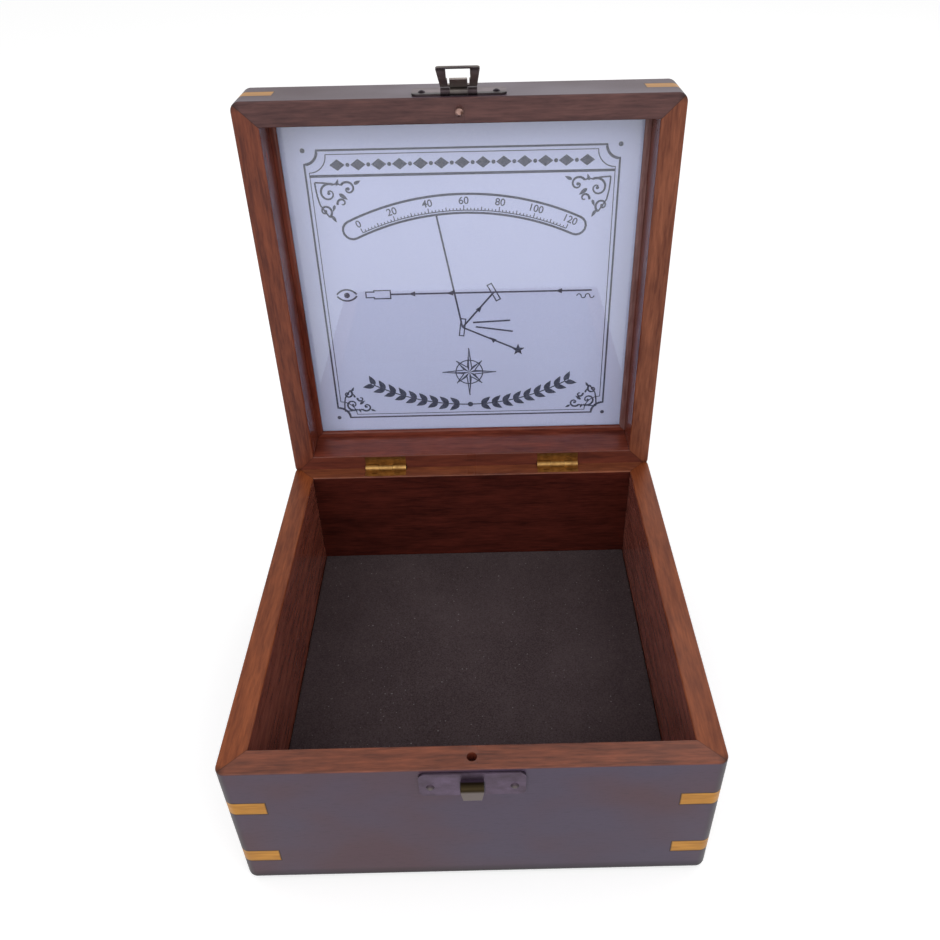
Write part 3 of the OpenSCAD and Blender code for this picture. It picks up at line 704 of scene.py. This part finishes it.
def drawScale():
    look = scaleDraw
    inner, outer = look["band"]
    endRadius = (outer - inner) / 2
    ends = []
    for side in (-1, 1):
        ends += arcPoints(look["middle"], (inner + endRadius,) * 2, 90 + side * look["half"], 90, 2)[:1]
    outline = arcPoints(look["middle"], (outer, outer), 90 - look["half"], 90 + look["half"], 40)
    outline += arcPoints(ends[1], (endRadius,) * 2, 90 + look["half"], 270 + look["half"], 9)[1:-1]
    outline += arcPoints(look["middle"], (inner, inner), 90 + look["half"], 90 - look["half"], 40)
    outline += arcPoints(ends[0], (endRadius,) * 2, 270 - look["half"], 450 - look["half"], 9)[1:-1]
    inkLines([outline], look["width"], True)
    baseLine = arcPoints(look["middle"], (look["line"],) * 2, 90 - look["reach"], 90 + look["reach"], 40)
    inkLines([baseLine], look["fine"])
    for number in range(0, 121, 2):
        angle = 90 + look["reach"] * (1 - number / 60)
        length = next(tick for step, tick in look["ticks"].items() if number % step == 0)
        foot = arcPoints(look["middle"], (look["line"], look["line"] + length), angle, angle, 2)
        inkLines([foot], look["fine"])
        if number % 20 == 0:
            text = bpy.data.curves.new("scaleNumber", "FONT")
            text.body = str(number)
            text.size = look["digitSize"]
            text.align_x = "CENTER"
            text.align_y = "CENTER"
            text.extrude = 1
            text.offset = look["digitWeight"]
            u, v = arcPoints(look["middle"], (look["digitRing"],) * 2, angle, angle, 2)[0]
            turn = Matrix.Rotation(math.radians(angle - 90), 4, "Z")
            keepInk(bpy.data.objects.new("scaleNumber", text), Matrix.Translation((u, v, 0)) @ turn)


# Line figure of a sight line: an eye and a tube at the left, waves at the right, two small mirrors and a star
sightDraw = {
    "level": -1.5,
    "reach": (-28, 46),
    "halfGlass": (10, -1.5),
    "indexGlass": (-2, -15.5),
    "star": (19, -25.5),
    "line": 0.65,
    "tipGap": 0.4,
    "rays": [[(16, -13), (2, -13.6)], [(17, -17.6), (3, -15.4)]],
    "waves": {"at": (44.6, -2.2), "radius": 0.8, "line": 0.4},
    "mirror": (7, 1.7),
    "mirrorTurns": (118, 82),
    "tube": {"ends": (-28, -34, -37), "radii": (1.6, 1.1)},
    "eye": {"at": -44, "radius": 4.4, "drop": 2.2, "pupil": 1.1},
    "arrow": [(1.5, 0), (-1.1, 1.0), (-1.1, -1.0)],
    "levelArrows": (34, -6, -20),
    "slantArrows": [((9.4, -20.9), 136.5), ((4.6, -8), 49.5)],
    "starRings": (2.6, 1.1),
}


def drawSight():
    look = sightDraw
    v = look["level"]
    halfGlass, indexGlass, star = look["halfGlass"], look["indexGlass"], look["star"]
    pointer = scaleDraw["pointerAt"]
    angle = 90 + scaleDraw["reach"] * (1 - pointer / 60)
    tipRing = scaleDraw["band"][0] - look["tipGap"]
    tip = arcPoints(scaleDraw["middle"], (tipRing, tipRing), angle, angle, 2)[0]
    rays = [
        [(look["reach"][0], v), (look["reach"][1], v)],
        [star, indexGlass],
        [indexGlass, halfGlass],
        [indexGlass, tip],
    ]
    inkLines(rays + look["rays"], look["line"])
    at, radius = look["waves"]["at"], look["waves"]["radius"]
    waves = []
    for i in (-2, -1, 0, 1):
        rise = 180 * (i % 2)
        waves.append(arcPoints((at[0] + 2 * i * radius, v + at[1]), (radius, radius), rise, rise + 180, 8))
    inkLines(waves, look["waves"]["line"])

    long, thick = look["mirror"][0] / 2, look["mirror"][1] / 2
    mirror = [(long, thick), (-long, thick), (-long, -thick), (long, -thick)]
    turns = look["mirrorTurns"]
    inkLines([placed(mirror, halfGlass, turns[0]), placed(mirror, indexGlass, turns[1])], look["line"], True)
    front, neck, back = look["tube"]["ends"]
    wide, narrow = look["tube"]["radii"]
    upper = [(front, wide), (neck, wide), (neck, narrow), (back, narrow)]
    tube = upper + [(x, -y) for x, y in reversed(upper)]
    inkLines([placed(tube, (0, v))], look["line"], True)
    eye = look["eye"]
    radii = (eye["radius"], eye["radius"])
    upperLid = arcPoints((eye["at"], v - eye["drop"]), radii, 145, 35, 12)
    lowerLid = arcPoints((eye["at"], v + eye["drop"]), radii, 215, 325, 12)
    inkLines([upperLid, lowerLid], look["line"])
    pupil = arcPoints((eye["at"], v), (eye["pupil"], eye["pupil"]), 0, 330, 12)
    arrows = [((u, v), 180) for u in look["levelArrows"]] + look["slantArrows"]
    starShape = []
    for i in range(10):
        ring = look["starRings"][i % 2]
        starShape += arcPoints(star, (ring, ring), 90 + 36 * i, 90 + 36 * i, 2)[:1]
    inkShapes([pupil, starShape] + [placed(look["arrow"], spot, turn) for spot, turn in arrows])


# Compass star of eight points, each half dark and half open, over a curved spray of leaves
roseDraw = {"middle": (0, -34.8), "long": 10.5, "short": 7.0, "root": 2.4, "ring": 5.2, "line": 0.45}
sprayDraw = {
    "middle": (0, 28),
    "radius": 77.5,
    "half": 29,
    "step": 3.2,
    "leaf": (4.9, 2.2),
    "lean": 38,
    "stem": 0.5,
    "berry": 1.1,
}


def drawRose():
    look = roseDraw
    inkLines([arcPoints(look["middle"], (look["ring"],) * 2, 0, 350, 36)], look["line"], True)
    for turn in range(0, 360, 45):
        length = look["long"] if turn % 90 == 0 else look["short"]
        root = arcPoints((0, 0), (look["root"],) * 2, 22.5, 22.5, 2)[0]
        halfPoint = [(0, 0), (length, 0), root]
        inkShapes([placed(halfPoint, look["middle"], turn)])
        inkLines([placed([(x, -y) for x, y in halfPoint[1:]], look["middle"], turn)], look["line"])


def drawSpray():
    look = sprayDraw
    stem = arcPoints(look["middle"], (look["radius"],) * 2, 270 - look["half"], 270 + look["half"], 40)
    inkLines([stem], look["stem"])
    leaf = leafOutline(*look["leaf"])
    leaves = []
    count = int(look["half"] / look["step"])
    for side in (-1, 1):
        for i in range(1, count + 1):
            angle = 270 + side * i * look["step"]
            at = arcPoints(look["middle"], (look["radius"],) * 2, angle, angle, 2)[0]
            outward = angle + 90 * side
            leaves += [placed(leaf, at, outward + lean) for lean in (-look["lean"], look["lean"])]
    berryPlace = (0, look["middle"][1] - look["radius"])
    berry = arcPoints(berryPlace, (look["berry"], look["berry"]), 0, 330, 12)
    inkShapes(leaves + [berry])


# Scrolls in the four corners: four spirals on stems that spring from each corner, with leaves between them.
# Each corner has its place and the size of its scroll, and is drawn on both sides.
scrollDraw = {
    "corners": ((50.6, 40.2, 0.78), (50.6, -51.8, 0.62)),
    "line": 0.85,
    "thin": 0.55,
    "eye": 0.75,
    "eyes": ((6.0, -5.2), (14.6, -3.4), (3.6, -13.2)),
    "spirals": [
        ((6.0, -5.2), (4.4, 0.7), 60, 480, 40),
        ((14.6, -3.4), (3.4, 0.6), 150, -220, 32),
        ((3.6, -13.2), (3.1, 0.6), -60, 320, 32),
        ((11.4, -9.6), (2.2, 0.5), 200, -120, 24),
    ],
    "stems": [
        [(0.4, -0.4), (2.4, -0.5), (5.0, -0.7), (8.2, -1.4)],
        [(0.4, -0.4), (0.5, -3.0), (0.8, -6.4), (1.6, -10.4), (5.15, -15.9)],
        [(8.2, -1.4), (10.0, -1.0), (11.65, -1.7)],
    ],
    "leaves": [
        (4.6, 1.8, (10.4, -5.4), -38),
        (3.6, 1.5, (17.2, -1.4), 25),
        (3.6, 1.5, (6.2, -15.2), -60),
        (3.2, 1.3, (9.6, -2.0), 70),
        (3.2, 1.3, (8.0, -10.4), -110),
    ],
}


def drawScrolls():
    look = scrollDraw
    spirals = [arcPoints(*spiral) for spiral in look["spirals"]]
    leaves = [placed(leafOutline(length, width), at, turn) for length, width, at, turn in look["leaves"]]
    eyes = [arcPoints(at, (look["eye"], look["eye"]), 0, 330, 12) for at in look["eyes"]]
    for u, v, size in look["corners"]:
        for side in (-1, 1):
            flip = (-side * size, size if v > 0 else -size)
            corner = (side * u, v)
            inkLines([placed(points, corner, 0, flip) for points in spirals], look["line"], taper=0.5)
            inkLines([placed(points, corner, 0, flip) for points in look["stems"]], look["thin"])
            inkShapes([placed(points, corner, 0, flip) for points in leaves + eyes])


for draw in (drawFrame, drawStrip, drawScale, drawSight, drawRose, drawSpray, drawScrolls):
    draw()
print("print drawn,", len(inkPieces), "strokes and shapes")


def makeCard():
    half = caseSize["half"] - caseSize["wall"] - cardCut["gap"]
    thick = caseSize["cardBack"] - caseSize["cardFace"] - cardCut["sink"]
    bpy.ops.object.select_all(action="DESELECT")
    bpy.ops.mesh.primitive_plane_add(size=2 * half)
    card = bpy.context.object
    card.name = "printedCard"
    bpy.ops.object.mode_set(mode="EDIT")
    bpy.ops.mesh.select_all(action="SELECT")
    bpy.ops.mesh.bevel(offset=cardCut["corner"], segments=4, affect="VERTICES")
    bpy.ops.mesh.extrude_region_move(TRANSFORM_OT_translate={"value": (0, 0, -thick)})
    bpy.ops.mesh.select_all(action="SELECT")
    bpy.ops.mesh.normals_make_consistent(inside=False)
    bpy.ops.object.mode_set(mode="OBJECT")
    card.data.transform(cardToOpen)
    card.data.materials.append(whiteCard("whiteCard"))
    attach(card, "lid")
    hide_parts("lid_card")


def makePrint():
    bpy.ops.object.select_all(action="DESELECT")
    for piece in inkPieces:
        piece.select_set(True)
    bpy.context.view_layer.objects.active = inkPieces[0]
    bpy.ops.object.join()
    inkPrint = bpy.context.object
    inkPrint.name = "cardPrint"
    inkPrint.data.transform(cardToOpen @ Matrix.Translation((0, 0, cardCut["inkHeight"] / 3)))
    inkPrint.data.materials.clear()
    inkPrint.data.materials.append(printingInk("printingInk"))
    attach(inkPrint, "lid")


makeCard()
makePrint()
print("card printed")

# Pale floor that stays white to the eye and keeps the case's soft shadow
studioLook = {"floor": 6.0, "white": 0.8, "glow": 0.48, "sky": 0.6}


def makeStudio():
    bpy.ops.object.select_all(action="DESELECT")
    bpy.ops.mesh.primitive_plane_add(size=studioLook["floor"])
    floor = bpy.context.object
    floor.name = "studioFloor"
    pale = (studioLook["white"],) * 3 + (1,)
    sockets = {
        "Base Color": pale,
        "Roughness": 0.9,
        "Specular IOR Level": 0.0,
        "Emission Color": (1, 1, 1, 1),
    }
    material, tree, shader = newMaterial("paleFloor", sockets)
    bpy.context.scene.world = bpy.data.worlds.new("paleStudio")
    bpy.context.scene.world.use_nodes = True
    worldTree = bpy.context.scene.world.node_tree
    strengths = {}
    for setTree, low, high in ((tree, 0.0, studioLook["glow"]), (worldTree, studioLook["sky"], 1.0)):
        path = addNode(setTree, "LightPath").outputs
        seen = path["Is Camera Ray"]
        for ray in ("Is Glossy Ray", "Is Transmission Ray"):
            seen = addNode(setTree, "Math", {0: seen, 1: path[ray]}, operation="MAXIMUM")
        strengths[setTree] = addNode(setTree, "Mix", {0: seen, 2: low, 3: high})
    fillSockets(tree, shader, {"Emission Strength": strengths[tree]})
    sky = {"Color": (1, 1, 1, 1), "Strength": strengths[worldTree]}
    fillSockets(worldTree, worldTree.nodes["Background"], sky)
    floor.data.materials.append(material)


# Soft lamps, places in metres: two in front, the left one a little stronger, and a weak one behind. They all
# aim at a point above the middle of the case's floor.
lampPlan = {
    "softKey": {"at": (-0.4, -1.0, 0.75), "size": 1.0, "power": 4.6},
    "softFill": {"at": (0.55, -0.9, 0.85), "size": 1.0, "power": 3.2},
    "softBack": {"at": (0.4, 0.7, 0.9), "size": 0.7, "power": 1.4},
}
aimHeight = 0.08


def makeLamps():
    for name, plan in lampPlan.items():
        bpy.ops.object.light_add(type="AREA", location=plan["at"])
        lamp = bpy.context.object
        lamp.name = name
        lamp.data.energy = plan["power"]
        lamp.data.size = plan["size"]
        aim = Vector((0, 0, aimHeight)) - Vector(plan["at"])
        lamp.rotation_euler = aim.to_track_quat("-Z", "Y").to_euler()


# The camera, fitted to the case's edges as the photo shows them. The place is in millimetres.
cameraFit = {
    "place": (5.702, -209.072, 257.846),
    "turn": (0.9293, 0.0170, -0.0152),
    "lens": 33.124,
    "sensor": 36,
    "shift": (-0.0191, 0.0019),
}


def makeCamera():
    bpy.ops.object.camera_add(location=Vector(cameraFit["place"]) * mm, rotation=cameraFit["turn"])
    camera = bpy.context.object
    camera.data.lens = cameraFit["lens"]
    camera.data.sensor_width = cameraFit["sensor"]
    camera.data.shift_x, camera.data.shift_y = cameraFit["shift"]
    camera.data.clip_start = 0.01
    bpy.context.scene.camera = camera


makeStudio()
makeLamps()
makeCamera()
bpy.context.scene.view_settings.view_transform = "Standard"
print("studio ready")
